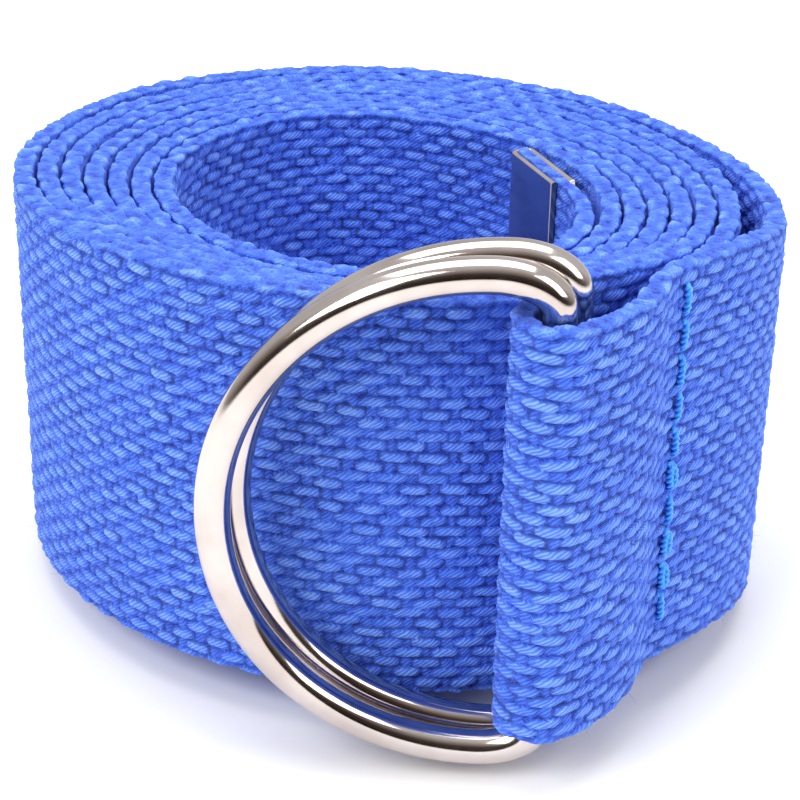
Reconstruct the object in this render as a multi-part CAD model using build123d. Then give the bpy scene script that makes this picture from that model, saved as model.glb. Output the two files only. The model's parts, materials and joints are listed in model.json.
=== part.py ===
from build123d import *
import math
import os

# Stretching strap: a cotton webbing wound into an upright coil, with two D-rings in a sewn
# end loop. Millimetres, +Z up. The coil's axis is vertical and the rings face -Y. The origin
# is at the middle of the bottom of the whole strap. Headings and angles are in degrees, seen
# from above, anticlockwise from +X.

# ---- webbing ----
web_width = 38.0          # selvedge to selvedge
web_thick = 2.0
wrap_air = 0.15           # air between two turns of the coil

# ---- coil ----
hole_long = 19.0          # half the centre hole's length and width, at the free end of the webbing
hole_short = 16.8
coil_turn = -40.0         # the long way of the coil lies along this heading
tip_angle = 37.0          # where the free end lies
turns_total = 2467.0      # wound clockwise from the free end to where the outer end peels off
flat_turns = 430.0        # the innermost turns stand level
front_rise = 4.7          # the outermost turns ride up at the front, towards the rings
loop_rise = 5.9           # the ring loop and its rings hang this far off the ground
rise_heading = -105.0     # the rise is highest here
rise_front = 1.6          # how closely it keeps to there
rise_start = 8            # the rise is in full after one part in this many of the turns

# ---- D-rings ----
wire = 3.0
ring_slack = 3.0          # a ring is open this much more than the webbing is wide
ring_opening = web_width + ring_slack   # clear height inside a ring
ring_reach = 30.0         # over all, from bar to arch
corner_radius = 2.9
ring_heading = 177.5      # the rings lie along this heading from their bars
ring_gap = 0.6            # between the wires of the two rings
ring_slip = 1.3           # the back ring lies this much nearer its end of the loop

# ---- ring loop ----
bar_room = 0.25           # between a bar and the webbing round it
bar_x = 13.9              # front ring's bar, from the coil's axis
bar_seat = -0.0605        # between the coil's outer turn and the loop's tail, behind the rings
seam_angle = -51.0
tail_past_seam = 1.6
seat_gap = 0.7            # between the folded tail and the coil
seam_air = 0.1            # between the two layers at the seam
leg_heading = 215.0       # the outer layer's heading where it meets the front bar
bulge_heading = 240.0     # and where it bulges out between the seam and the bar
bulge_across = 7.2        # that place, from the front bar
bulge_back = 3.8
run_in_turn = 4.0         # the webbing goes this much further round the back bar than its tail

# ---- outer end of the webbing ----
cut_gap = 0.35            # between the coil and the end that peels off it
end_air = 0.25            # added to the air under the outer end where it leaves the coil
settle_turn = 120.0       # degrees before the cut over which that air is added
tail_from = 36.0          # degrees after it where the end starts moving out to clear the tail
tail_turn = 105.0         # degrees over which it moves out
climb_from = 98.0         # degrees after the cut where the end starts climbing to the ring loop

# ---- seam ----
stitch_count = 10
stitch_pitch = 3.3
stitch_length = 2.2
stitch_wide = 0.55
stitch_proud = 0.3
stitch_air = 0.02         # between a stitch and the face it lies on
stitch_up = 1.2           # the row lies this far above the middle of the webbing
stitch_round = 0.4        # bend of its edges, as a share of what stands proud

# ---- end tip ----
tip_length = 9.5
tip_metal = 0.5
tip_squeeze = 1.4         # the webbing is crimped to this inside the tip
tip_air = 0.05
tip_edge_inset = 0.2      # the tip stops this far inside each edge of the webbing
tip_round = 0.8           # outside bend of its spine
tip_half_angle = 14.0     # half of what the tip takes up of the centre hole's circle
tip_mouth = 0.3           # the webbing stays crimped this far past the tip
swell_end = 62.0          # degrees wound when the webbing is back on the spiral after the tip

# ---- how finely the webbing's curves are followed ----
spiral_step = 12.0        # degrees between stations
spiral_face = 120.0       # degrees in one face of the spiral
bar_step = 18.0

pitch = web_thick + wrap_air
half_thick = web_thick / 2
tip_over = tip_squeeze + 2 * (tip_air + tip_metal)
full_turns = 360 * round((turns_total + seam_angle - tip_angle + 90) / 360)
seam_wound = full_turns + tip_angle - seam_angle


def unit(heading):
    return Vector(math.cos(math.radians(heading)), math.sin(math.radians(heading)), 0)


def leftOf(heading):
    return unit(heading + 90)


def smooth(value):
    share = min(max(value, 0.0), 1.0)
    return share * share * (3 - 2 * share)


# ---- where the webbing runs ----
# A station is (point on the middle of the webbing at its lower edge, heading, thickness, slope).


def rise(wound, angle):
    """How far the lower edge is off the ground after winding this far."""
    ramp = (wound - flat_turns) / (seam_wound - flat_turns)
    start = smooth(ramp * rise_start)
    front = (1 + math.cos(math.radians(angle - rise_heading))) / 2
    return front_rise * max(ramp, 0) * start * front ** rise_front


def wrapPoint(wound, extra=0.0):
    """A point of the spiral, in the middle of the webbing's thickness."""
    angle = tip_angle - wound
    grown = half_thick + pitch * wound / 360 + extra
    long_way = unit(coil_turn) * (hole_long + grown) * math.cos(math.radians(angle - coil_turn))
    short_way = leftOf(coil_turn) * (hole_short + grown) * math.sin(math.radians(angle - coil_turn))
    return long_way + short_way + Vector(0, 0, rise(wound, angle))


def endAir(wound):
    """The outer end lies clear of the coil, most where it bears on the folded tail."""
    from_cut = wound - turns_total
    settled = end_air * smooth((from_cut + settle_turn) / settle_turn)
    folded_tail = web_thick + seat_gap + seam_air - wrap_air - end_air
    return settled + folded_tail * smooth((from_cut - tail_from) / tail_turn)


def webPoint(wound):
    """A point of the whole spiral. The outer end climbs to the level of the ring loop."""
    point = wrapPoint(wound, endAir(wound))
    climb_start = turns_total + climb_from
    climb = smooth((wound - climb_start) / (seam_wound - climb_start))
    return Vector(point.X, point.Y, point.Z + (loop_rise - point.Z) * climb)


def wrapStation(wound):
    along = webPoint(wound + 0.5) - webPoint(wound - 0.5)
    heading = math.degrees(math.atan2(along.Y, along.X))
    level = math.hypot(along.X, along.Y)
    return (webPoint(wound), heading, web_thick, along.Z / level)


def spread(first, last, step):
    count = max(2, math.ceil(abs(last - first) / step))
    return [first + (last - first) * i / count for i in range(count + 1)]


def offsetEdge(stations, side):
    """One long lower edge of the webbing, on its left (1) or its right (-1)."""
    points = [point + leftOf(heading) * side * thick / 2 for point, heading, thick, slope in stations]
    tangents = []
    for point, heading, thick, slope in (stations[0], stations[-1]):
        tangents.append(unit(heading) + Vector(0, 0, slope))
    if len(stations) == 2:
        return Edge.make_line(points[0], points[1])
    return Edge.make_spline(points, tangents=tangents)


def crossEdge(station):
    point, heading, thick, slope = station
    reach = leftOf(heading) * thick / 2
    return Edge.make_line(point + reach, point - reach)


def webbingSolid(runs):
    """A closed band of the webbing's width, standing on the given runs of stations."""
    up = Vector(0, 0, web_width)
    faces = []
    for stations in runs:
        left = offsetEdge(stations, 1)
        right = offsetEdge(stations, -1)
        level = max(point.Z for point, *rest in stations) - min(point.Z for point, *rest in stations)
        if level < 1e-6:
            ends = [crossEdge(stations[0]), crossEdge(stations[-1])]
            lower = Face(Wire([left, ends[0], right, ends[1]]))
        else:
            lower = Face.make_surface_from_curves(left, right)
        faces += [lower, lower.moved(Location(up))]
        faces += [Face.extrude(left, up), Face.extrude(right, up)]
    faces.append(Face.extrude(crossEdge(runs[0][0]), up))
    faces.append(Face.extrude(crossEdge(runs[-1][-1]), up))
    return Solid(Shell(faces))


def swellRun(first, last):
    """A level run that widens and bends evenly from one station to the other."""
    start, heading_a, thick_a, slope_a = first
    stop, heading_b, thick_b, slope_b = last
    guide = Edge.make_spline([start, stop], tangents=[unit(heading_a), unit(heading_b)])
    run = [(start, heading_a, thick_a, 0.0)]
    for share in (0.25, 0.5, 0.75):
        along = guide.tangent_at(share)
        heading = math.degrees(math.atan2(along.Y, along.X))
        run.append((guide.position_at(share), heading, thick_a + (thick_b - thick_a) * smooth(share), 0.0))
    run.append((stop, heading_b, thick_b, 0.0))
    return run


# ---- coil ----


def tipChord():
    """The crimped end is straight, so it lies as a chord inside the second turn."""
    second_turn = [wrapPoint(360 + wound) for wound in spread(0, 2 * tip_half_angle, 7)]
    inside = min(math.hypot(point.X, point.Y) for point in second_turn) - half_thick - wrap_air
    distance = math.sqrt(inside ** 2 - (tip_length / 2) ** 2) - tip_over / 2
    middle_angle = tip_angle - tip_half_angle
    return unit(middle_angle) * distance, middle_angle - 90


def coilRuns():
    middle, heading = tipChord()
    begin = middle - unit(heading) * (tip_length / 2 - tip_metal - tip_air)
    mouth = middle + unit(heading) * (tip_length / 2 + tip_mouth)
    crimped = [(begin, heading, tip_squeeze, 0.0), (mouth, heading, tip_squeeze, 0.0)]
    runs = [crimped, swellRun(crimped[-1], wrapStation(swell_end))]
    for first, last in ((swell_end, flat_turns), (flat_turns, turns_total)):
        joints = spread(first, last, spiral_face)
        for start, stop in zip(joints, joints[1:]):
            runs.append([wrapStation(wound) for wound in spread(start, stop, spiral_step)])
    return runs


# ---- outer end, with the ring loop ----


def frontBar():
    """Far enough from the coil for the back ring and the loop's tail to lie between."""
    grown = pitch * turns_total / 360
    long_share = (hole_long + grown) * math.sin(math.radians(coil_turn))
    short_share = (hole_short + grown) * math.cos(math.radians(coil_turn))
    coil_front = math.hypot(long_share, short_share)
    return Vector(bar_x, -(coil_front + bar_seat + web_thick + 1.5 * wire + ring_gap), 0)


def barPlace(which):
    """The middle line of a ring's bar, seen from above: 0 is the front ring, 1 the back one."""
    apart = leftOf(ring_heading) * -(wire + ring_gap) - unit(ring_heading) * ring_slip
    return frontBar() + apart * which


def roundBar(centre, first, last):
    """Stations where the webbing turns clockwise round a bar."""
    radius = wire / 2 + bar_room + half_thick
    run = []
    for heading in spread(first, last, bar_step):
        run.append((centre + leftOf(heading) * radius + Vector(0, 0, loop_rise), heading, web_thick, 0.0))
    return run


def tailStation(angle):
    """The folded tail lies along the outside of the coil."""
    wound = full_turns - 360 + tip_angle - angle
    point = wrapPoint(wound, web_thick + seat_gap)
    return (Vector(point.X, point.Y, loop_rise), angle + 90, web_thick, 0.0)


def endRuns():
    radius = math.hypot(webPoint(turns_total).X, webPoint(turns_total).Y)
    start = turns_total + math.degrees(cut_gap / radius)
    outer = [wrapStation(wound) for wound in spread(start, seam_wound, spiral_step)]
    front = barPlace(0)
    back = barPlace(1)
    between = back - front
    tail_heading = math.degrees(math.atan2(between.Y, between.X))
    fold = roundBar(front, leg_heading, tail_heading)
    bulge = (frontBar() + Vector(bulge_across, bulge_back, loop_rise), bulge_heading, web_thick, 0.0)
    tail_end = tailStation(seam_angle + math.degrees(tail_past_seam / radius))
    line = tail_end[0] - back
    run_in = math.degrees(math.atan2(line.Y, line.X))
    past_back_bar = roundBar(back, tail_heading, run_in + run_in_turn)
    sewn = tailStation(seam_angle)
    return [
        outer,
        swellRun(outer[-1], bulge),
        swellRun(bulge, fold[0]),
        fold,
        [fold[-1], past_back_bar[0]],
        past_back_bar,
        swellRun(past_back_bar[-1], sewn),
        [sewn, tail_end],
    ]


# ---- D-rings ----


def makeRing(which):
    half = (ring_opening + wire) / 2
    corner = corner_radius
    arch_start = ring_reach - wire - half
    bar = Line((0, corner - half), (0, half - corner))
    path = Wire([
        bar.edge(),
        RadiusArc((0, half - corner), (corner, half), corner).edge(),
        Line((corner, half), (arch_start, half)).edge(),
        ThreePointArc((arch_start, half), (arch_start + half, 0), (arch_start, -half)).edge(),
        Line((arch_start, -half), (corner, -half)).edge(),
        RadiusArc((corner, -half), (0, corner - half), corner).edge(),
    ])
    section = Plane((0, 0, 0), z_dir=(0, 1, 0)) * Circle(wire / 2)
    flat_ring = sweep(section, path=path)
    ring_middle = Vector(0, 0, loop_rise + web_width / 2)
    standing = Location(barPlace(which) + ring_middle) * Rotation(0, 0, ring_heading)
    return standing * Rotation(90, 0, 0) * flat_ring


# ---- seam ----


def makeStitches(station, side):
    """A row of stitches lying on one face of the webbing at this station."""
    point, heading, thick, slope = station
    stand_off = thick / 2 + stitch_air + stitch_proud / 2
    row_middle = Vector(point.X, point.Y, loop_rise + web_width / 2 + stitch_up)
    stitches = []
    for number in range(stitch_count):
        height = (number - (stitch_count - 1) / 2) * stitch_pitch
        place = row_middle + leftOf(heading) * side * stand_off + Vector(0, 0, height)
        stitch = fillet(Box(stitch_wide, stitch_proud, stitch_length).edges(), stitch_proud * stitch_round)
        stitches.append(Location(place) * Rotation(0, 0, heading) * stitch)
    return Compound(stitches)


# ---- end tip ----


def makeTip():
    middle, heading = tipChord()
    height = web_width - 2 * tip_edge_inset
    shell = Box(tip_length, tip_over, height)
    spine_edges = shell.edges().filter_by(Axis.Z).group_by(Axis.X)[0]
    shell = fillet(spine_edges, tip_round)
    slot = Pos(tip_metal, 0, 0) * Box(tip_length, tip_over - 2 * tip_metal, height)
    clip = shell - slot
    return Location(middle + Vector(0, 0, web_width / 2)) * Rotation(0, 0, heading) * clip


def makeParts():
    seam = wrapStation(seam_wound)
    tail = tailStation(seam_angle)
    return {
        "webbing_coil": webbingSolid(coilRuns()),
        "webbing_end": webbingSolid(endRuns()),
        "d_ring_front": makeRing(0),
        "d_ring_back": makeRing(1),
        "needle_thread": makeStitches(seam, 1),
        "bobbin_thread": makeStitches(tail, 1),
        "end_tip": makeTip(),
    }


parts = makeParts()
whole = Compound(list(parts.values())).bounding_box()
to_origin = Vector(-whole.center().X, -whole.center().Y, 0)

os.makedirs("parts", exist_ok=True)
for name, shape in parts.items():
    export_step(shape.moved(Location(to_origin)), "parts/" + name + ".step")

peel = wrapStation(turns_total)
print("overall", whole.size)
print("coil axis", to_origin)
print("peel hinge", peel[0] + leftOf(peel[1]) * half_thick + to_origin)
for which in (0, 1):
    print("bar", which, barPlace(which) + to_origin)
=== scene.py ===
import cmath
import json
import math

import bpy
import numpy as np
from mathutils import Euler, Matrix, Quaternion, Vector


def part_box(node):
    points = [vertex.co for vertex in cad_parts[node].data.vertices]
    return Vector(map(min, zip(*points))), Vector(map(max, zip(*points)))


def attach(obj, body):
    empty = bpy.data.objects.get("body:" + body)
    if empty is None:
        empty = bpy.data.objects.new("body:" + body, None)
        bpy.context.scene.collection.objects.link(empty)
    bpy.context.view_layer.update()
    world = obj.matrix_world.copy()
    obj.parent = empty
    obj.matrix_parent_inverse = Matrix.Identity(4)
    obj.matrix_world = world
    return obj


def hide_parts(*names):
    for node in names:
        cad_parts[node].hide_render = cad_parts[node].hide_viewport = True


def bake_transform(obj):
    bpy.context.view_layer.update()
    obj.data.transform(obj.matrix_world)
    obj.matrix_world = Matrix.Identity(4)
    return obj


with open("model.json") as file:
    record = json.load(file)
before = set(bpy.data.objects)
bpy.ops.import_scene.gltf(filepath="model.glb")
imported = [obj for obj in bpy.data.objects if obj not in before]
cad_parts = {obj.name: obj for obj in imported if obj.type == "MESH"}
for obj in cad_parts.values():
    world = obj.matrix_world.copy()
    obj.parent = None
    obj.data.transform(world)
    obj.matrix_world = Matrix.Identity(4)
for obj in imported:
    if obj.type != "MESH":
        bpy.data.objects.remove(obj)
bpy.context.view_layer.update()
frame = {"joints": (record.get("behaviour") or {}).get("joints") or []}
mm = 0.001
joints = {joint["name"]: joint for joint in frame["joints"]}

# Plan positions are complex numbers in millimetres from the coil's axis, headings are radians.
# The left of the heading is the outside of the coil.

# where the webbing runs
path = {
    "width": 38.0, "thick": 2.0, "pitch": 2.15,
    "holeLong": 19.0, "holeShort": 16.8, "coilTurn": math.radians(-40), "tipAngle": 37.0,
    "cut": 2467.0, "flatTurns": 430.0, "fullTurns": 2520.0, "seamAngle": -51.0,
    "rise": 5.9, "frontRise": 4.7, "riseHeading": math.radians(-105), "riseStart": 8, "riseFront": 1.6,
    "endAir": 0.25, "settleTurn": 120.0, "tailFrom": 36.0, "tailTurn": 105.0, "climbFrom": 98.0,
    "seatGap": 0.7, "seamAir": 0.1,
    "barRadius": 2.75,          # a bar, its room and half the webbing
    "legHeading": 215.0, "bulgeAt": complex(21.1, -35.7), "bulgeHeading": 240.0,
    "runInTurn": 4.0, "tailPastSeam": 1.6,
    "tipLength": 9.5, "tipMetal": 0.5, "tipSqueeze": 1.4, "tipAir": 0.05,
    "tipHalfAngle": 14.0, "tipMouth": 0.3, "swellEnd": 62.0,
    "spiralStep": 0.5,          # degrees between two stations of the spiral
}
seamWound = path["fullTurns"] + path["tipAngle"] - path["seamAngle"]
# how far the outer turn stands off so that the folded tail fits under it
foldedTail = (
    path["thick"] + path["seatGap"] + path["seamAir"] + path["thick"] - path["pitch"] - path["endAir"]
)


def smooth(value):
    share = min(max(value, 0.0), 1.0)
    return share * share * (3 - 2 * share)


def rise(wound, angle):
    ramp = (wound - path["flatTurns"]) / (seamWound - path["flatTurns"])
    front = (1 + math.cos(angle - path["riseHeading"])) / 2
    return path["frontRise"] * max(ramp, 0) * smooth(ramp * path["riseStart"]) * front ** path["riseFront"]


def wrapPoint(wound, extra=0.0):
    angle = math.radians(path["tipAngle"] - wound)
    grown = path["thick"] / 2 + path["pitch"] * wound / 360 + extra
    turned = angle - path["coilTurn"]
    longWay = (path["holeLong"] + grown) * math.cos(turned)
    shortWay = (path["holeShort"] + grown) * math.sin(turned)
    return complex(longWay, shortWay) * cmath.rect(1, path["coilTurn"]), rise(wound, angle)


def webPoint(wound):
    fromCut = wound - path["cut"]
    air = path["endAir"] * smooth((fromCut + path["settleTurn"]) / path["settleTurn"])
    aside = foldedTail * smooth((fromCut - path["tailFrom"]) / path["tailTurn"])
    place, level = wrapPoint(wound, air + aside)
    climb = smooth((fromCut - path["climbFrom"]) / (seamWound - path["cut"] - path["climbFrom"]))
    return place, level + (path["rise"] - level) * climb


def wrapStation(wound):
    heading = cmath.phase(webPoint(wound + 0.5)[0] - webPoint(wound - 0.5)[0])
    place, level = webPoint(wound)
    return place, level, heading, path["thick"]


def swellRun(first, last, count=40):
    chord = abs(last[0] - first[0])
    run = []
    for number in range(count + 1):
        t = number / count
        place = (
            first[0] * (1 - t) ** 2 * (1 + 2 * t) + cmath.rect(chord, first[2]) * t * (1 - t) ** 2
            + last[0] * t * t * (3 - 2 * t) - cmath.rect(chord, last[2]) * t * t * (1 - t)
        )
        level = first[1] + (last[1] - first[1]) * t
        run.append((place, level, 0.0, first[3] + (last[3] - first[3]) * smooth(t)))
    return run


def roundBar(centre, first, last, count=24):
    run = []
    for number in range(count + 1):
        heading = first + (last - first) * number / count
        place = centre + 1j * cmath.rect(path["barRadius"], heading)
        run.append((place, path["rise"], heading, path["thick"]))
    return run


def tailStation(angle):
    wound = path["fullTurns"] - 360 + path["tipAngle"] - angle
    place = wrapPoint(wound, path["thick"] + path["seatGap"])[0]
    return place, path["rise"], math.radians(angle + 90), path["thick"]


def tipChord():
    spread = [abs(wrapPoint(360 + 4 * step)[0]) for step in range(8)]
    inside = min(spread) - path["pitch"] + path["thick"] / 2
    over = path["tipSqueeze"] + 2 * (path["tipAir"] + path["tipMetal"])
    distance = math.sqrt(inside ** 2 - (path["tipLength"] / 2) ** 2) - over / 2
    middle = math.radians(path["tipAngle"] - path["tipHalfAngle"])
    return cmath.rect(distance, middle), middle - math.pi / 2


peelStation = wrapStation(path["cut"])
peelHinge = peelStation[0] + 1j * cmath.rect(path["thick"] / 2, peelStation[2])
peelAt = joints["peel"]["pos_m"]
coilAxis = complex(peelAt[0] / mm, peelAt[1] / mm) - peelHinge


def jointPlan(name):
    place = joints[name]["pos_m"]
    return complex(place[0] / mm, place[1] / mm) - coilAxis


def coilRun():
    middle, heading = tipChord()
    ahead = cmath.rect(1, heading)
    begin = middle - ahead * (path["tipLength"] / 2 - path["tipMetal"] - path["tipAir"])
    mouth = middle + ahead * (path["tipLength"] / 2 + path["tipMouth"])
    crimped = [(begin, 0, heading, path["tipSqueeze"]), (mouth, 0, heading, path["tipSqueeze"])]
    spiral = [wrapStation(wound) for wound in np.arange(path["swellEnd"], path["cut"], path["spiralStep"])]
    return crimped[:1] + swellRun(crimped[1], spiral[0])[:-1] + spiral + [peelStation]


def endRun():
    outer = [wrapStation(wound) for wound in np.arange(path["cut"], seamWound, path["spiralStep"])]
    front = jointPlan("front_ring_swing")
    back = jointPlan("back_ring_swing")
    tailHeading = cmath.phase(back - front)
    radius = abs(webPoint(path["cut"])[0])
    tailEnd = tailStation(path["seamAngle"] + math.degrees(path["tailPastSeam"] / radius))
    runIn = cmath.phase(tailEnd[0] - back) + math.radians(path["runInTurn"])
    fold = roundBar(front, math.radians(path["legHeading"]), tailHeading)
    pastBack = roundBar(back, tailHeading, runIn)
    sewn = tailStation(path["seamAngle"])
    bulge = (path["bulgeAt"], path["rise"], math.radians(path["bulgeHeading"]), path["thick"])
    leg = swellRun(wrapStation(seamWound), bulge)[:-1] + swellRun(bulge, fold[0])[:-1]
    return outer + leg + fold + pastBack + swellRun(pastBack[-1], sewn)[1:] + [tailEnd]


def measured(run, begin=0.0):
    # one row per station: distance along the webbing, x, y, level, heading, thickness
    plan = np.array([station[0] for station in run])
    keep = np.concatenate([[True], np.abs(np.diff(plan)) > 1e-4])
    plan = plan[keep]
    level = np.array([station[1] for station in run])[keep]
    thick = np.array([station[3] for station in run])[keep]
    along = begin + np.concatenate([[0], np.cumsum(np.hypot(np.abs(np.diff(plan)), np.diff(level)))])
    heading = np.unwrap(np.angle(np.gradient(plan, along)))
    return np.stack([along, plan.real, plan.imag, level, heading, thick], axis=1)


coilTable = measured(coilRun())
endTable = measured(endRun(), coilTable[-1, 0])
coilLength = coilTable[-1, 0]
endLength = endTable[-1, 0]
print("webbing", round(coilLength), "mm in the coil,", round(endLength - coilLength), "in the end")

# the weave
weave = {
    "relief": 0.36,             # how far a float stands out of the ground
    "coreRound": 0.69,          # half the thickness of the ground
    "rows": 76, "floatPitch": 3.4, "floatHalf": 1.27, "rowCover": 0.50, "slant": -0.18,
    "seed": 11,
    "fine": 0.18, "coarseCount": 6, "arcCount": 12, "edgeFlat": 0.5,
    "nubs": 0.10,               # random lumps of the spun yarn
    "edgeNubs": 0.24,
    "edgeBead": 0.17,           # the selvedge is a little thicker than the ground
    "edgeArc": 2.1,             # yarn distance counted round one selvedge
    "edgeWander": 0.16,         # the selvedge isn't quite straight
    "wanderSpans": (4.1, 7.3, 12.9),
    "nubCount": 14, "nubShortest": 0.75, "nubLongest": 2.4,
    "groundTone": 0.35, "weftTone": 0.2,
    "weftHeight": 0.5, "weftHalf": 0.5, "weftCover": 0.62,
    "floatEnds": 3.6, "floatSides": 2.8,    # how square a float's ends and sides are
    # how much each float differs from the next in place, tilt, length and height
    "endJitter": 0.22, "sideJitter": 0.09, "tiltJitter": 0.09, "lengthJitter": 0.12, "heightJitter": 0.14,
    "lowest": -0.3, "highest": 1.15, "hidden": 0.6,    # limits of the relief, and its height on unseen faces
    "crimped": 0.7, "crimpedBelow": 1.5,    # share of the relief left where the webbing is thinner than this
}
wanderRandom = np.random.RandomState(weave["seed"])
floatCount = int(endLength / weave["floatPitch"]) + 3
floatJitter = wanderRandom.uniform(-1, 1, (weave["rows"], floatCount, 5))
wanderPhase = wanderRandom.uniform(0, 2 * math.pi, 6)
nubWaves = [
    (math.cos(turn) * 2 * math.pi / span, math.sin(turn) * 2 * math.pi / span, phase)
    for turn, span, phase in zip(
        wanderRandom.uniform(0, math.pi, weave["nubCount"]),
        wanderRandom.uniform(weave["nubShortest"], weave["nubLongest"], weave["nubCount"]),
        wanderRandom.uniform(0, 6.3, weave["nubCount"]),
    )
]


def crossSection(fineOuter, fineInner):
    # around the webbing's section: distance, reach to the left, height, and the way out
    half = weave["coreRound"]
    cap = weave["edgeFlat"]
    low = cap + weave["relief"] * 0.6
    high = path["width"] - low
    points = []
    travel = 0.0

    def face(side, fine):
        nonlocal travel
        count = round((high - low) / weave["fine"]) if fine else weave["coarseCount"]
        for number in range(count):
            share = number / count
            height = low + (high - low) * share if side > 0 else high - (high - low) * share
            points.append((travel + (high - low) * share, side * half, height, side, 0.0, float(fine)))
        travel += high - low

    def edge(side, middle):
        nonlocal travel
        reach = weave["edgeArc"]
        for number in range(weave["arcCount"]):
            angle = math.pi * number / weave["arcCount"]
            across = math.copysign(abs(math.cos(angle)) ** 0.55, math.cos(angle))
            up = math.sin(angle) ** 0.6
            beaded = half + weave["edgeBead"] * math.sin(angle)
            points.append((
                travel + reach * number / weave["arcCount"], side * beaded * across,
                middle + side * cap * up, side * math.cos(angle), side * math.sin(angle), 1.0,
            ))
        travel += reach

    face(1, fineOuter)
    edge(1, high)
    face(-1, fineInner)
    edge(-1, low)
    return np.array(points), travel


def reliefAt(along, around, perimeter):
    # height of the yarns, 0 to 1, and a random tone for the yarn on top
    rowPitch = perimeter / weave["rows"]
    best = np.zeros_like(along)
    tone = np.full_like(along, weave["groundTone"])
    nearRow = np.floor(around / rowPitch).astype(int)
    for step in (-1, 0, 1):
        row = nearRow + step
        wrapped = row % weave["rows"]
        shift = weave["floatPitch"] * 0.5 * (wrapped % 2)
        number = np.clip(np.round((along - shift) / weave["floatPitch"]).astype(int), 0, floatCount - 1)
        jitter = floatJitter[wrapped, number]
        ds = along - shift - number * weave["floatPitch"] - weave["endJitter"] * jitter[..., 0]
        dp = around - (row + 0.5) * rowPitch - weave["sideJitter"] * jitter[..., 1]
        dp = dp - weave["tiltJitter"] * jitter[..., 2] * ds
        reach = weave["floatHalf"] * (1 + weave["lengthJitter"] * jitter[..., 3])
        u = np.abs(ds - weave["slant"] * dp) / reach
        v = np.abs(dp) / (weave["rowCover"] * rowPitch)
        stature = 1 - weave["heightJitter"] + weave["heightJitter"] * jitter[..., 4]
        bulge = np.clip(1 - u ** weave["floatEnds"] - v ** weave["floatSides"], 0, 1) ** 0.5 * stature
        gap = np.abs(np.abs(ds) - weave["floatPitch"] / 2)
        aside = (gap / weave["weftHalf"]) ** 2 + (dp / (weave["weftCover"] * rowPitch)) ** 2
        weft = weave["weftHeight"] * np.sqrt(np.clip(1 - aside, 0, 1))
        tone = np.where(bulge > best, 0.5 + 0.5 * jitter[..., 2], tone)
        best = np.maximum(best, bulge)
        tone = np.where(weft > best, weave["weftTone"], tone)
        best = np.maximum(best, weft)
    return best, tone


def bandMesh(table, first, last, step, fineOuter, fineInner):
    section, perimeter = crossSection(fineOuter, fineInner)
    count = max(2, round((last - first) / step))
    along = np.linspace(first, last, count + 1)
    x, y, level, heading, thick = (np.interp(along, table[:, 0], table[:, k]) for k in range(1, 6))
    s, p = np.meshgrid(along, section[:, 0], indexing="ij")
    height, tone = reliefAt(s, p, perimeter)
    nubs = sum(np.sin(a * s + b * p + phase) for a, b, phase in nubWaves) / weave["nubCount"] ** 0.5
    onEdge = np.abs(section[:, 4])
    nubShare = weave["nubs"] + (weave["edgeNubs"] - weave["nubs"]) * onEdge
    height = height * (1 - 0.35 * onEdge) + nubs * nubShare
    height = np.where(section[:, 5] > 0, np.clip(height, weave["lowest"], weave["highest"]), weave["hidden"])
    squeeze = (thick / path["thick"])[:, None]
    inClip = (thick < weave["crimpedBelow"])[:, None]
    out = weave["relief"] * height * np.where(inClip, weave["crimped"], 1.0)
    reach = section[:, 1] * squeeze + section[:, 3] * out * squeeze
    spans = weave["wanderSpans"]
    wander = sum(np.sin(along / span + wanderPhase[k]) for k, span in enumerate(spans)) / 3
    lift = weave["edgeWander"] * wander[:, None] * (section[:, 2] / path["width"]) ** 3
    tall = section[:, 2] + section[:, 4] * out + lift
    tall = np.clip(tall, 0.02, None)
    plan = (x + 1j * y)[:, None] + 1j * np.exp(1j * heading)[:, None] * reach + coilAxis
    points = np.stack([plan.real, plan.imag, level[:, None] + tall], axis=2) * mm
    rows, ring = s.shape
    index = np.arange(rows * ring).reshape(rows, ring)
    nextRing = np.roll(index, -1, axis=1)
    quads = np.stack([index[:-1], nextRing[:-1], nextRing[1:], index[1:]], axis=2).reshape(-1, 4)
    around = np.append(section[:, 0], perimeter)
    uvAlong = np.stack([along[:-1], along[:-1], along[1:], along[1:]], axis=1)[:, None, :]
    uvAround = np.stack([around[:-1], around[1:], around[1:], around[:-1]], axis=1)[None, :, :]
    uv = np.stack(np.broadcast_arrays(uvAlong, uvAround), axis=3).reshape(-1, 2)
    caps = [index[0][::-1], index[-1]]
    capUv = [np.stack([s.ravel()[cap], p.ravel()[cap]], axis=1) for cap in caps]
    return {
        "points": points.reshape(-1, 3), "quads": quads, "caps": caps,
        "uv": np.concatenate([uv] + capUv), "relief": height.ravel(), "tone": tone.ravel(),
        "selvedge": np.broadcast_to(onEdge, s.shape).ravel(),
    }


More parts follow.
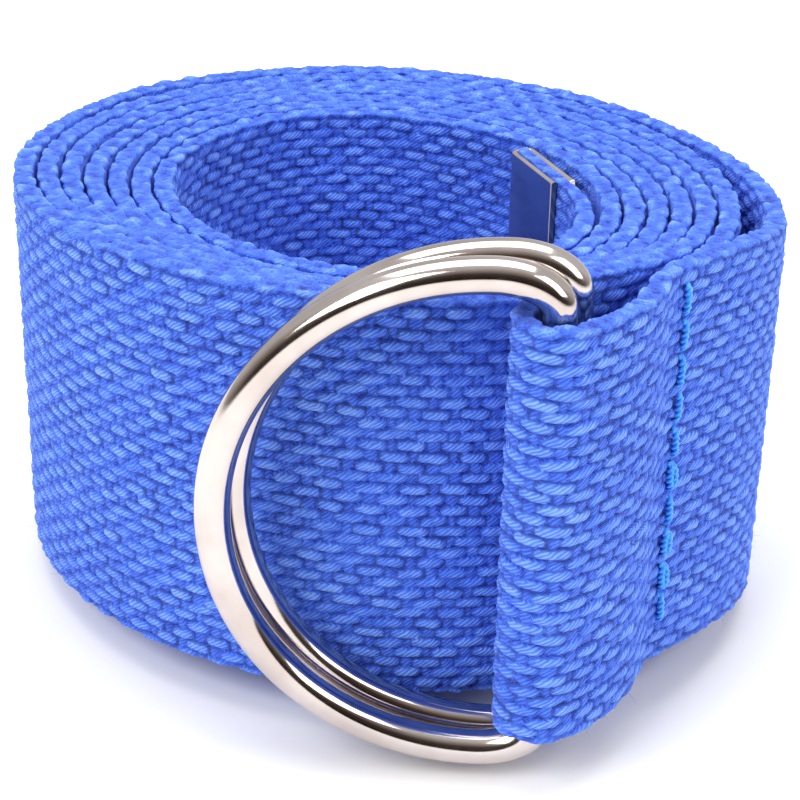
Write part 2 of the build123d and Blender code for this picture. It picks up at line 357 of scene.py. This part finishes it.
def joinedMesh(name, bands):
    # one mesh from several bands that touch end to end
    points = np.concatenate([band["points"] for band in bands])
    starts = np.cumsum([0] + [len(band["points"]) for band in bands])
    corners = []
    uvs = []
    sizes = []
    for start, band in zip(starts, bands):
        corners += [band["quads"].ravel() + start] + [cap + start for cap in band["caps"]]
        sizes += [np.full(len(band["quads"]), 4)] + [np.array([len(cap)]) for cap in band["caps"]]
        uvs.append(band["uv"])
    corners = np.concatenate(corners)
    sizes = np.concatenate(sizes)
    mesh = bpy.data.meshes.new(name)
    mesh.vertices.add(len(points))
    mesh.vertices.foreach_set("co", points.ravel())
    mesh.loops.add(len(corners))
    mesh.loops.foreach_set("vertex_index", corners.astype(np.int32))
    mesh.polygons.add(len(sizes))
    mesh.polygons.foreach_set("loop_start", np.concatenate([[0], np.cumsum(sizes)[:-1]]).astype(np.int32))
    mesh.polygons.foreach_set("use_smooth", sizes == 4)
    mesh.update(calc_edges=True)
    layer = mesh.uv_layers.new(name="yarns")
    layer.data.foreach_set("uv", np.concatenate(uvs).ravel())
    for attribute in ("relief", "tone", "selvedge"):
        values = mesh.attributes.new(attribute, "FLOAT", "POINT")
        values.data.foreach_set("value", np.concatenate([band[attribute] for band in bands]))
    mesh.validate()
    return mesh


def addPiece(name, mesh, body=None, material=None):
    piece = bpy.data.objects.new(name, mesh)
    bpy.context.scene.collection.objects.link(piece)
    if material:
        mesh.materials.append(material)
    if body:
        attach(piece, body)
    return piece


# materials
def linear(hexCode):
    parts = [int(hexCode[k:k + 2], 16) / 255 for k in (1, 3, 5)]
    return tuple(c / 12.92 if c <= 0.04045 else ((c + 0.055) / 1.055) ** 2.4 for c in parts) + (1.0,)


def addNode(tree, kind, links=(), values=(), stops=(), **settings):
    node = tree.nodes.new(kind)
    for key, value in settings.items():
        setattr(node, key, value)
    for socket, value in dict(values).items():
        node.inputs[socket].default_value = value
    for socket, source in dict(links).items():
        tree.links.new(source, node.inputs[socket])
    if stops:
        ramp = node.color_ramp.elements
        ramp[0].position, ramp[0].color = stops[0]
        ramp[1].position, ramp[1].color = stops[-1]
        for position, color in stops[1:-1]:
            ramp.new(position).color = color
    return node


def newMaterial(name):
    material = bpy.data.materials.new(name)
    material.use_nodes = True
    tree = material.node_tree
    shader = tree.nodes["Principled BSDF"]
    return material, tree, shader


waveBand = 0.314    # a Wave texture at scale 1 has one band in this many units

cotton = {
    # the ramp runs from painted shade in the pits to a painted highlight on the tops of the highest yarns
    "paintedPitShade": "#16257e", "shade": "#3158d2", "body": "#4c7bf0", "tip": "#86b0ff",
    "twistAngle": 38, "twistPitch": 0.30,       # mm between two twist lines of this yarn
    "fibreAlong": 0.55, "fibreAcross": 5.5,     # fibres are ten times as long as they are wide
    "patchScale": 0.13,                         # the dye is uneven over about 8 mm
    "fluffScale": 4.5,                          # fluff of 0.2 mm, coarser than the real one so that it shows
    "strandShare": 1.15, "toneShare": 0.12, "patchShare": 0.35, "fluffShare": 0.30,
    "rubbed": 0.8, "roughness": 0.82, "ior": 1.53, "specular": 0.35,
    "sheen": 0.35, "sheenRoughness": 0.45, "sheenTint": "#9db8ff", "bump": 0.13,
}


def dyedCotton():
    # woven ring-spun cotton: a matt, fuzzy surface whose yarns show their twist as slanting lines
    material, tree, shader = newMaterial("woven ring-spun cotton, dyed royal blue")
    uv = addNode(tree, "ShaderNodeUVMap", uv_map="yarns").outputs["UV"]
    relief = addNode(tree, "ShaderNodeAttribute", attribute_name="relief").outputs["Fac"]
    tone = addNode(tree, "ShaderNodeAttribute", attribute_name="tone").outputs["Fac"]
    # each yarn's twist starts at its own place
    offset = addNode(
        tree, "ShaderNodeVectorMath", {0: tone}, {1: (0.4, 2.3, 0)}, operation="MULTIPLY"
    ).outputs["Vector"]
    shifted = addNode(tree, "ShaderNodeVectorMath", {0: uv, 1: offset}, operation="ADD").outputs["Vector"]
    turned = addNode(
        tree, "ShaderNodeMapping", {"Vector": shifted},
        {"Rotation": (0, 0, math.radians(cotton["twistAngle"]))},
    ).outputs["Vector"]
    twist = addNode(
        tree, "ShaderNodeTexWave", {"Vector": turned},
        {"Scale": waveBand / cotton["twistPitch"], "Distortion": 4.5, "Detail": 2.5, "Detail Scale": 1.1},
        bands_direction="Y",
    ).outputs["Fac"]
    stretched = addNode(
        tree, "ShaderNodeMapping", {"Vector": turned},
        {"Scale": (cotton["fibreAlong"], cotton["fibreAcross"], 1)},
    ).outputs["Vector"]
    fibres = addNode(
        tree, "ShaderNodeTexNoise", {"Vector": stretched}, {"Scale": 1.3, "Detail": 3.0, "Roughness": 0.6}
    ).outputs["Fac"]
    patches = addNode(
        tree, "ShaderNodeTexNoise", {"Vector": uv}, {"Scale": cotton["patchScale"], "Detail": 2.0}
    ).outputs["Fac"]
    twisted = addNode(tree, "ShaderNodeMath", {0: twist, 1: fibres}, operation="MULTIPLY").outputs["Value"]
    # the selvedge is rubbed to a fuzz that hides the twist
    selvedge = addNode(tree, "ShaderNodeAttribute", attribute_name="selvedge").outputs["Fac"]
    rubbed = addNode(
        tree, "ShaderNodeMapRange", {"Value": selvedge}, {"To Max": cotton["rubbed"]}
    ).outputs["Result"]
    fluff = addNode(
        tree, "ShaderNodeTexNoise", {"Vector": uv},
        {"Scale": cotton["fluffScale"], "Detail": 4.0, "Roughness": 0.7},
    ).outputs["Fac"]
    softened = addNode(
        tree, "ShaderNodeMath", {0: fluff}, {1: 2.2, 2: -0.72}, operation="MULTIPLY_ADD"
    ).outputs["Value"]
    strands = addNode(
        tree, "ShaderNodeMix", {"Factor": rubbed, "A": twisted, "B": softened}, data_type="FLOAT"
    ).outputs["Result"]
    # painted light and colour: high yarns paler and low pits darker (painted highlight and painted shade),
    # the twisted fibres paler (painted highlight along the twist), a random tone per yarn and broad dye
    # patches
    light = relief
    for source, share in (
        (strands, "strandShare"), (tone, "toneShare"), (patches, "patchShare"), (fluff, "fluffShare")
    ):
        light = addNode(
            tree, "ShaderNodeMath", {0: source, 2: light}, {1: cotton[share]}, operation="MULTIPLY_ADD"
        ).outputs["Value"]
    scaled = addNode(
        tree, "ShaderNodeMapRange", {"Value": light}, {"From Min": 0.20, "From Max": 2.10}
    ).outputs["Result"]
    # dark to pale along the sum above: painted shade where the yarns are low, painted highlight where they
    # are high
    color = addNode(tree, "ShaderNodeValToRGB", {"Fac": scaled}, stops=[
        (0.05, linear(cotton["paintedPitShade"])), (0.34, linear(cotton["shade"])),
        (0.60, linear(cotton["body"])), (0.92, linear(cotton["tip"])),
    ]).outputs["Color"]
    tree.links.new(color, shader.inputs["Base Color"])
    bump = addNode(
        tree, "ShaderNodeBump", {"Height": strands}, {"Strength": 0.9, "Distance": cotton["bump"] * mm}
    ).outputs["Normal"]
    tree.links.new(bump, shader.inputs["Normal"])
    shader.inputs["Roughness"].default_value = cotton["roughness"]
    shader.inputs["IOR"].default_value = cotton["ior"]
    shader.inputs["Specular IOR Level"].default_value = cotton["specular"]
    shader.inputs["Sheen Weight"].default_value = cotton["sheen"]
    shader.inputs["Sheen Roughness"].default_value = cotton["sheenRoughness"]
    shader.inputs["Sheen Tint"].default_value = linear(cotton["sheenTint"])
    return material


# a few fibres have picked up pink lint
fibre = {"dark": "#3c66e4", "pale": "#8fb0ff", "lint": "#d98fb4", "roughness": 0.7, "transmission": 0.25}


def looseFibre():
    # single cotton fibres standing off the yarns, paler than the cloth because light goes through them
    material, tree, shader = newMaterial("loose cotton fibre, dyed royal blue")
    tone = addNode(tree, "ShaderNodeAttribute", attribute_name="tone").outputs["Fac"]
    color = addNode(tree, "ShaderNodeValToRGB", {"Fac": tone}, stops=[
        (0.0, linear(fibre["dark"])), (0.9, linear(fibre["pale"])), (0.97, linear(fibre["lint"])),
    ]).outputs["Color"]
    tree.links.new(color, shader.inputs["Base Color"])
    shader.inputs["Roughness"].default_value = fibre["roughness"]
    shader.inputs["IOR"].default_value = cotton["ior"]
    shader.inputs["Transmission Weight"].default_value = fibre["transmission"]
    return material


thread = {
    "color": "#45b0ff", "deep": "#2a8df0", "roughness": 0.38, "ior": 1.57, "sheen": 0.2,
    "fibreScale": 9000.0,       # per metre: its fibres show every 0.1 mm or so
}


def sewingThread():
    # two-ply polyester sewing thread: smoother and brighter than the cloth, with a soft lengthwise gleam
    material, tree, shader = newMaterial("two-ply spun polyester sewing thread, azure")
    place = addNode(tree, "ShaderNodeTexCoord").outputs["Object"]
    fine = addNode(
        tree, "ShaderNodeTexNoise", {"Vector": place}, {"Scale": thread["fibreScale"], "Detail": 2.0}
    ).outputs["Fac"]
    color = addNode(
        tree, "ShaderNodeValToRGB", {"Fac": fine},
        stops=[(0.3, linear(thread["deep"])), (0.6, linear(thread["color"]))],
    ).outputs["Color"]
    tree.links.new(color, shader.inputs["Base Color"])
    bump = addNode(
        tree, "ShaderNodeBump", {"Height": fine}, {"Strength": 0.5, "Distance": 0.03 * mm}
    ).outputs["Normal"]
    tree.links.new(bump, shader.inputs["Normal"])
    shader.inputs["Roughness"].default_value = thread["roughness"]
    shader.inputs["IOR"].default_value = thread["ior"]
    shader.inputs["Sheen Weight"].default_value = thread["sheen"]
    return material


nickel = {
    "color": "#d3c9c4", "worn": "#c2b6b0", "roughness": 0.09, "wornMore": 0.07, "pressedMore": 0.06,
    "hazeScale": 160.0,         # per metre: handling haze in patches of about 6 mm
    "grainScale": 2600.0,       # drawing marks of about 0.4 mm, coarser than real ones so that they show
}


def platedNickel(name, roughness):
    # bright nickel plate on drawn steel: a slightly warm mirror with faint drawing lines and handling haze
    material, tree, shader = newMaterial(name)
    place = addNode(tree, "ShaderNodeTexCoord").outputs["Object"]
    haze = addNode(
        tree, "ShaderNodeTexNoise", {"Vector": place}, {"Scale": nickel["hazeScale"], "Detail": 4.0}
    ).outputs["Fac"]
    grain = addNode(
        tree, "ShaderNodeTexNoise", {"Vector": place}, {"Scale": nickel["grainScale"], "Detail": 2.0}
    ).outputs["Fac"]
    color = addNode(
        tree, "ShaderNodeValToRGB", {"Fac": haze},
        stops=[(0.35, linear(nickel["worn"])), (0.6, linear(nickel["color"]))],
    ).outputs["Color"]
    tree.links.new(color, shader.inputs["Base Color"])
    rough = addNode(
        tree, "ShaderNodeMapRange", {"Value": haze},
        {"From Min": 0.35, "From Max": 0.7, "To Min": roughness, "To Max": roughness + nickel["wornMore"]},
    ).outputs["Result"]
    tree.links.new(rough, shader.inputs["Roughness"])
    bump = addNode(
        tree, "ShaderNodeBump", {"Height": grain}, {"Strength": 0.06, "Distance": 0.02 * mm}
    ).outputs["Normal"]
    tree.links.new(bump, shader.inputs["Normal"])
    shader.inputs["Metallic"].default_value = 1.0
    return material


cottonMaterial = dyedCotton()
fibreMaterial = looseFibre()
threadMaterial = sewingThread()
ringMaterial = platedNickel("bright nickel plate on drawn steel wire", nickel["roughness"])
tipMaterial = platedNickel(
    "bright nickel plate on pressed steel strip", nickel["roughness"] + nickel["pressedMore"]
)

# webbing
# Only the faces that show are woven finely: the outside of the outer turn and the inside of the hole.
bandSplit = {"innerEnd": 136.0, "outerStart": coilLength - 245.0, "rimStep": 0.25}
coilBands = [
    bandMesh(coilTable, 0, bandSplit["innerEnd"], weave["fine"], False, True),
    bandMesh(coilTable, bandSplit["innerEnd"], bandSplit["outerStart"], bandSplit["rimStep"], False, False),
    bandMesh(coilTable, bandSplit["outerStart"], coilLength, weave["fine"], True, False),
]
coilWebbing = addPiece("coiled_webbing", joinedMesh("coiled_webbing", coilBands), "coil", cottonMaterial)
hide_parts("webbing_coil")

endBand = bandMesh(endTable, coilLength, endLength, weave["fine"], True, True)
endWebbing = addPiece("sewn_end_webbing", joinedMesh("sewn_end_webbing", [endBand]), None, cottonMaterial)
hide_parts("webbing_end")
print("webbing meshed", sum(len(band["points"]) for band in coilBands + [endBand]), "points")

# The end leaves the coil gradually past the cut through its own stations; below, its placement is only baked
# into its points.
peelBend = {"heading": complex(0.54, -0.84), "length": 20.0}


def blendWithEnd(piece):
    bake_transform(piece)


blendWithEnd(endWebbing)

# loose fibres
fuzz = {
    "seed": 5, "coil": 5200, "end": 3000, "radius": 0.013, "shortest": 0.25, "longest": 1.15,
    "curl": 0.5, "lean": 0.55, "rootDepth": 0.05,
    "shares": (0.0, 0.3, 0.55, 0.8, 1.0), "widths": (1.0, 0.9, 0.75, 0.5, 0.15), "spokes": (0.0, 2.1, 4.2),
}


def fuzzMesh(name, source, count, seed):
    random = np.random.RandomState(seed)
    points = np.empty(len(source.vertices) * 3)
    source.vertices.foreach_get("co", points)
    normals = np.empty(len(source.vertices) * 3)
    source.vertex_normals.foreach_get("vector", normals)
    points = points.reshape(-1, 3)
    normals = normals.reshape(-1, 3)
    picked = random.randint(0, len(points), count)
    root = points[picked] - normals[picked] * fuzz["rootDepth"] * mm
    lean = random.normal(0, 1, (count, 3))
    bend = random.normal(0, 1, (count, 3))
    long = fuzz["shortest"] + (fuzz["longest"] - fuzz["shortest"]) * random.uniform(0, 1, count) ** 3
    out = normals[picked] + fuzz["lean"] * lean
    out /= np.linalg.norm(out, axis=1)[:, None]
    stations = []
    for share in fuzz["shares"]:
        step = out * share + bend * fuzz["curl"] * share * share
        stations.append(root + step * (long * mm)[:, None] * 0.8)
    stations = np.stack(stations, axis=1)
    side = np.cross(out, bend)
    side /= np.linalg.norm(side, axis=1)[:, None]
    other = np.cross(out, side)
    rings = []
    for number, share in enumerate(fuzz["widths"]):
        for angle in fuzz["spokes"]:
            spoke = side * math.cos(angle) + other * math.sin(angle)
            rings.append(stations[:, number] + spoke * fuzz["radius"] * mm * share)
    cloud = np.stack(rings, axis=1)
    spokes = len(fuzz["spokes"])
    corners = len(rings)
    gaps = len(fuzz["widths"]) - 1
    low = np.array([number * spokes + k for number in range(gaps) for k in range(spokes)])
    turn = np.array([number * spokes + (k + 1) % spokes for number in range(gaps) for k in range(spokes)])
    quads = np.stack([low, turn, turn + spokes, low + spokes], axis=1)
    quads = (quads[None] + (np.arange(count) * corners)[:, None, None]).reshape(-1, 4)
    mesh = bpy.data.meshes.new(name)
    mesh.from_pydata(cloud.reshape(-1, 3).tolist(), [], quads.tolist())
    mesh.polygons.foreach_set("use_smooth", np.ones(len(quads), dtype=bool))
    values = mesh.attributes.new("tone", "FLOAT", "POINT")
    values.data.foreach_set("value", np.repeat(random.uniform(0, 1, count), corners))
    return mesh


coilHairs = fuzzMesh("coil_loose_fibres", coilWebbing.data, fuzz["coil"], fuzz["seed"])
coilFuzz = addPiece("coil_loose_fibres", coilHairs, "coil", fibreMaterial)
endHairs = fuzzMesh("end_loose_fibres", endWebbing.data, fuzz["end"], fuzz["seed"] + 1)
endFuzz = addPiece("end_loose_fibres", endHairs, None, fibreMaterial)
blendWithEnd(endFuzz)
print("fibres placed")

# D-rings
ring = {
    "wire": 3.0, "opening": 41.0, "reach": 30.0, "corner": 2.9, "cornerReach": 5.0,
    "along": 420, "around": 48, "barPoints": 30, "bendPoints": 40, "archPoints": 300,
}


def ringRoute():
    half = (ring["opening"] + ring["wire"]) / 2
    corner = ring["corner"]
    archStart = ring["reach"] - ring["wire"] - half
    route = [complex(0, h) for h in np.linspace(corner - half, half - corner, ring["barPoints"])[:-1]]
    bends = np.linspace(0, math.pi / 2, ring["bendPoints"])
    reach = ring["cornerReach"]
    route += [complex(reach - reach * math.cos(a), half - corner + corner * math.sin(a)) for a in bends]
    arch = np.linspace(math.pi / 2, -math.pi / 2, ring["archPoints"])
    route += [complex(archStart, 0) + cmath.rect(half, a) for a in arch]
    route += [complex(reach - reach * math.cos(a), corner - half - corner * math.sin(a)) for a in bends[::-1]]
    route = np.array(route)
    travel = np.concatenate([[0], np.cumsum(np.abs(np.diff(route)))])
    even = np.linspace(0, travel[-1], ring["along"] + 1)[:-1]
    return np.interp(even, travel, route.real) + 1j * np.interp(even, travel, route.imag)


def ringMesh(name, bar, heading):
    route = ringRoute()
    ahead = np.roll(route, -1) - np.roll(route, 1)
    ahead /= np.abs(ahead)
    angles = np.linspace(0, 2 * math.pi, ring["around"], endpoint=False)
    reach = ring["wire"] / 2
    inPlane = route[:, None] + (1j * ahead)[:, None] * (reach * np.cos(angles))[None, :]
    off = np.broadcast_to(reach * np.sin(angles)[None, :], inPlane.shape)
    out = np.exp(1j * heading)
    plan = bar + inPlane.real * out + off * 1j * out
    level = joints["front_ring_swing"]["pos_m"][2] / mm + inPlane.imag
    points = np.stack([plan.real, plan.imag, level], axis=2).reshape(-1, 3) * mm
    rows, around = inPlane.shape
    index = np.arange(rows * around).reshape(rows, around)
    beside = np.roll(index, -1, axis=1)
    quads = np.stack([
        index, beside, np.roll(beside, -1, axis=0), np.roll(index, -1, axis=0)
    ], axis=2).reshape(-1, 4)
    mesh = bpy.data.meshes.new(name)
    mesh.from_pydata(points.tolist(), [], quads.tolist())
    mesh.polygons.foreach_set("use_smooth", np.ones(len(quads), dtype=bool))
    return mesh


frontBar = jointPlan("front_ring_swing") + coilAxis
backBar = jointPlan("back_ring_swing") + coilAxis
# The rings lie nearly along -X. How far their solid spreads in Y, and to which side, gives the rest.
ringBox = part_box("d_ring_front")
ringSpan = ringBox[1][1] - ringBox[0][1]
ringWide = (ring["reach"] - ring["wire"]) * mm
ringSide = (ringBox[0][1] + ringBox[1][1]) / 2 - frontBar.imag * mm
ringLean = math.asin((ringSpan - ring["wire"] * mm) / ringWide)
ringHeading = math.pi - math.copysign(ringLean, ringSide)
for node, bar, body in (("d_ring_front", frontBar, "front_ring"), ("d_ring_back", backBar, "back_ring")):
    smoothRing = addPiece("smooth_" + node, ringMesh("smooth_" + node, bar, ringHeading), body, ringMaterial)
    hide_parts(node)
print("ring heading", round(math.degrees(ringHeading), 2))

# end tip
tip = {
    "edgeInset": 0.2, "bead": 0.16, "beadReach": 0.7, "round": 0.8, "bevel": 0.08,
    "flatPoints": 24, "bendPoints": 9,
    "edgeZone": 1.2, "edgePoints": 12, "middleFrom": 1.4, "middlePoints": 40,
}


def tipMesh(name):
    middle, heading = tipChord()
    metal = path["tipMetal"]
    over = path["tipSqueeze"] + 2 * (path["tipAir"] + metal)
    half = path["tipLength"] / 2
    bend = tip["round"] - metal / 2
    line = over / 2 - metal / 2
    front = np.linspace(half - metal / 2, -half + tip["round"], tip["flatPoints"])
    route = [complex(x, -line) for x in front]
    corner = complex(-half + tip["round"], -line + bend)
    turn = np.linspace(-math.pi / 2, -math.pi, tip["bendPoints"])
    route += [corner + cmath.rect(bend, a) for a in turn[1:]]
    corner = complex(-half + tip["round"], line - bend)
    turn = np.linspace(math.pi, math.pi / 2, tip["bendPoints"])
    route += [corner + cmath.rect(bend, a) for a in turn]
    back = np.linspace(-half + tip["round"], half - metal / 2, tip["flatPoints"])
    route += [complex(x, line) for x in back[1:]]
    route = np.array(route)
    ahead = np.gradient(route)
    ahead /= np.abs(ahead)
    tall = path["width"] - 2 * tip["edgeInset"]
    levels = np.concatenate([
        np.linspace(0, tip["edgeZone"], tip["edgePoints"]),
        np.linspace(tip["middleFrom"], tall - tip["middleFrom"], tip["middlePoints"]),
        np.linspace(tall - tip["edgeZone"], tall, tip["edgePoints"]),
    ])
    # the top and bottom edges are half round; the mouth's edges are flat, and the bevel softens them
    sides = []
    for side in (-1, 1):
        for level in levels:
            fromEdge = min(level, tall - level)
            bead = tip["bead"] * math.exp(-(fromEdge / tip["beadReach"]) ** 2) if side == 1 else 0.0
            rounding = math.sqrt(max(0.0, 1 - max(0.0, 1 - fromEdge / (metal / 2)) ** 2))
            sides.append((side * (metal / 2 * rounding + bead * rounding), tip["edgeInset"] + level))
    count = len(levels)
    ringOrder = list(range(count)) + [count + k for k in reversed(range(count))]
    outline = [sides[k] for k in ringOrder]
    points = []
    direction = cmath.rect(1, heading)
    for place, along in zip(route, ahead):
        for reach, level in outline:
            # the outside of the U is to the right of its route
            local = place + (-1j * along) * reach
            plan = middle + direction * local + coilAxis
            points.append((plan.real * mm, plan.imag * mm, level * mm))
    wide = len(outline)
    faces = []
    for row in range(len(route) - 1):
        for k in range(wide):
            after = (k + 1) % wide
            faces.append((row * wide + k, row * wide + after, (row + 1) * wide + after, (row + 1) * wide + k))
    for start in (0, (len(route) - 1) * wide):
        for k in range(count - 1):
            faces.append((start + k, start + k + 1, start + wide - 2 - k, start + wide - 1 - k))
    mesh = bpy.data.meshes.new(name)
    mesh.from_pydata(points, [], faces)
    mesh.polygons.foreach_set("use_smooth", np.ones(len(faces), dtype=bool))
    return mesh


clip = addPiece("pressed_end_clip", tipMesh("pressed_end_clip"), "coil", tipMaterial)
soften = clip.modifiers.new("edges", "BEVEL")
soften.width = tip["bevel"] * mm
soften.segments = 2
soften.limit_method = "ANGLE"
soften.angle_limit = math.radians(50)
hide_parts("end_tip")

# seam
seam = {
    "up": 1.2, "count": 10, "pitch": 3.3, "length": 2.9,
    "ply": 0.19, "turn": 1.05,          # radius of a ply, and the millimetres in which it turns once
    "steps": 26, "sides": 8, "arch": 0.20, "dip": 0.55, "slant": 0.12, "loopSpread": 0.30,
    "loops": (1, 2, 4),                 # these stitches were sewn twice
    "seed": 3,
}


def strandMesh(name, station):
    # each stitch is two plies twisted round one another, dipping into the cloth at its ends
    random = np.random.RandomState(seam["seed"])
    steps = seam["steps"]
    sides = seam["sides"]
    place, level, heading, thick = station
    ahead = cmath.rect(1, heading)
    faceOut = 1j * ahead
    points = []
    faces = []
    for number in range(seam["count"]):
        centre = level + path["width"] / 2 + seam["up"] + (number - (seam["count"] - 1) / 2) * seam["pitch"]
        slant = random.uniform(-seam["slant"], seam["slant"])
        for strand in ((-1, 1) if number in seam["loops"] else (0,)):
            for ply in (0, math.pi):
                begin = len(points)
                for step in range(steps + 1):
                    share = step / steps
                    t = 2 * share - 1
                    up = centre + seam["length"] / 2 * t
                    arch = seam["arch"] - seam["dip"] * abs(t) ** 6
                    spread = strand * seam["loopSpread"] * (1 - t * t) + slant * t
                    turn = 2 * math.pi * (up / seam["turn"]) + ply
                    for k in range(sides):
                        angle = 2 * math.pi * k / sides
                        across = spread + seam["ply"] * (0.75 * math.cos(turn) + math.cos(angle))
                        out = arch + seam["ply"] * (0.75 * math.sin(turn) + math.sin(angle))
                        plan = place + faceOut * (thick / 2 + out) + ahead * across + coilAxis
                        points.append((plan.real * mm, plan.imag * mm, up * mm))
                for step in range(steps):
                    for k in range(sides):
                        low = begin + step * sides
                        after = (k + 1) % sides
                        faces.append((low + k, low + after, low + sides + after, low + sides + k))
                faces.append(tuple(begin + k for k in reversed(range(sides))))
                faces.append(tuple(begin + steps * sides + k for k in range(sides)))
    mesh = bpy.data.meshes.new(name)
    mesh.from_pydata(points, [], faces)
    mesh.polygons.foreach_set("use_smooth", np.ones(len(faces), dtype=bool))
    return mesh


for name, node, station in (
    ("needle_stitches", "needle_thread", wrapStation(seamWound)),
    ("bobbin_stitches", "bobbin_thread", tailStation(path["seamAngle"])),
):
    stitches = addPiece(name, strandMesh(name, station), "strap_end", threadMaterial)
    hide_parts(node)
print("metal and thread done")

# studio
studio = {
    "elevation": 27.0, "distance": 210.0, "lens": 96.5, "shiftX": 0.0295, "shiftY": -0.0425,
    "look": 19.0, "roll": 1.0, "sensor": 36,
    "floor": "#f6f6f6", "floorRoughness": 0.9, "floorHalf": 2, "sky": 0.68, "aim": (0, 0, 0.02),
    # name, place, size in metres and power in watts
    "lamps": (
        ("key", (-0.45, -0.42, 0.55), (0.45, 0.45), 4.6),
        ("fill", (0.55, -0.30, 0.45), (0.35, 0.5), 2.6),
        ("top", (0.0, 0.15, 0.75), (0.8, 0.6), 4.6),
    ),
}
camera = bpy.data.objects.new("camera", bpy.data.cameras.new("camera"))
bpy.context.scene.collection.objects.link(camera)
tilt = math.radians(studio["elevation"])
target = Vector((coilAxis.real, coilAxis.imag, studio["look"])) * mm
camera.location = target - Vector((0, math.cos(tilt), -math.sin(tilt))) * studio["distance"] * mm
aim = Euler((math.pi / 2 - tilt, 0, 0)).to_quaternion() @ Quaternion((0, 0, 1), math.radians(studio["roll"]))
camera.rotation_euler = aim.to_euler()
camera.data.lens = studio["lens"]
camera.data.sensor_width = studio["sensor"]
camera.data.shift_x = studio["shiftX"]
camera.data.shift_y = studio["shiftY"]
camera.data.clip_start = 0.005
camera.data.dof.use_dof = False
bpy.context.scene.camera = camera

floorMesh = bpy.data.meshes.new("floor")
far = studio["floorHalf"]
floorMesh.from_pydata([(-far, -far, 0), (far, -far, 0), (far, far, 0), (-far, far, 0)], [], [(0, 1, 2, 3)])
# matt white paper, even enough that only the soft shadow shows
floorMaterial, _, floorShader = newMaterial("matt white studio paper")
floorShader.inputs["Base Color"].default_value = linear(studio["floor"])
floorShader.inputs["Roughness"].default_value = studio["floorRoughness"]
floor = addPiece("floor", floorMesh, None, floorMaterial)

world = bpy.data.worlds.new("studio")
bpy.context.scene.world = world
world.use_nodes = True
skyTree = world.node_tree
background = skyTree.nodes["Background"]
direction = addNode(skyTree, "ShaderNodeTexCoord").outputs["Generated"]
axes = addNode(skyTree, "ShaderNodeSeparateXYZ", {0: direction}).outputs
lean = addNode(skyTree, "ShaderNodeMath", {0: axes["Z"], 1: axes["Y"]}, operation="ADD").outputs["Value"]
shade = addNode(
    skyTree, "ShaderNodeMapRange", {"Value": lean}, {"From Min": -1.0, "From Max": 1.2}
).outputs["Result"]
# dark low in front and white above and behind, so that the metal has something to mirror
skyColor = addNode(skyTree, "ShaderNodeValToRGB", {"Fac": shade}, stops=[
    (0.0, linear("#1d1917")), (0.30, linear("#5c5049")), (0.50, linear("#bdb3ad")), (0.72, linear("#ffffff")),
]).outputs["Color"]
skyTree.links.new(skyColor, background.inputs["Color"])
background.inputs["Strength"].default_value = studio["sky"]


def softbox(name, place, size, power):
    lamp = bpy.data.lights.new(name, "AREA")
    lamp.shape = "RECTANGLE"
    lamp.size, lamp.size_y = size
    lamp.energy = power
    light = bpy.data.objects.new(name, lamp)
    bpy.context.scene.collection.objects.link(light)
    light.location = place
    light.rotation_euler = (Vector(studio["aim"]) - Vector(place)).to_track_quat("-Z", "Y").to_euler()


for lamp in studio["lamps"]:
    softbox(*lamp)
print("studio lit")

bpy.context.scene.view_settings.view_transform = "Standard"
bpy.context.scene.view_settings.exposure = 0.0
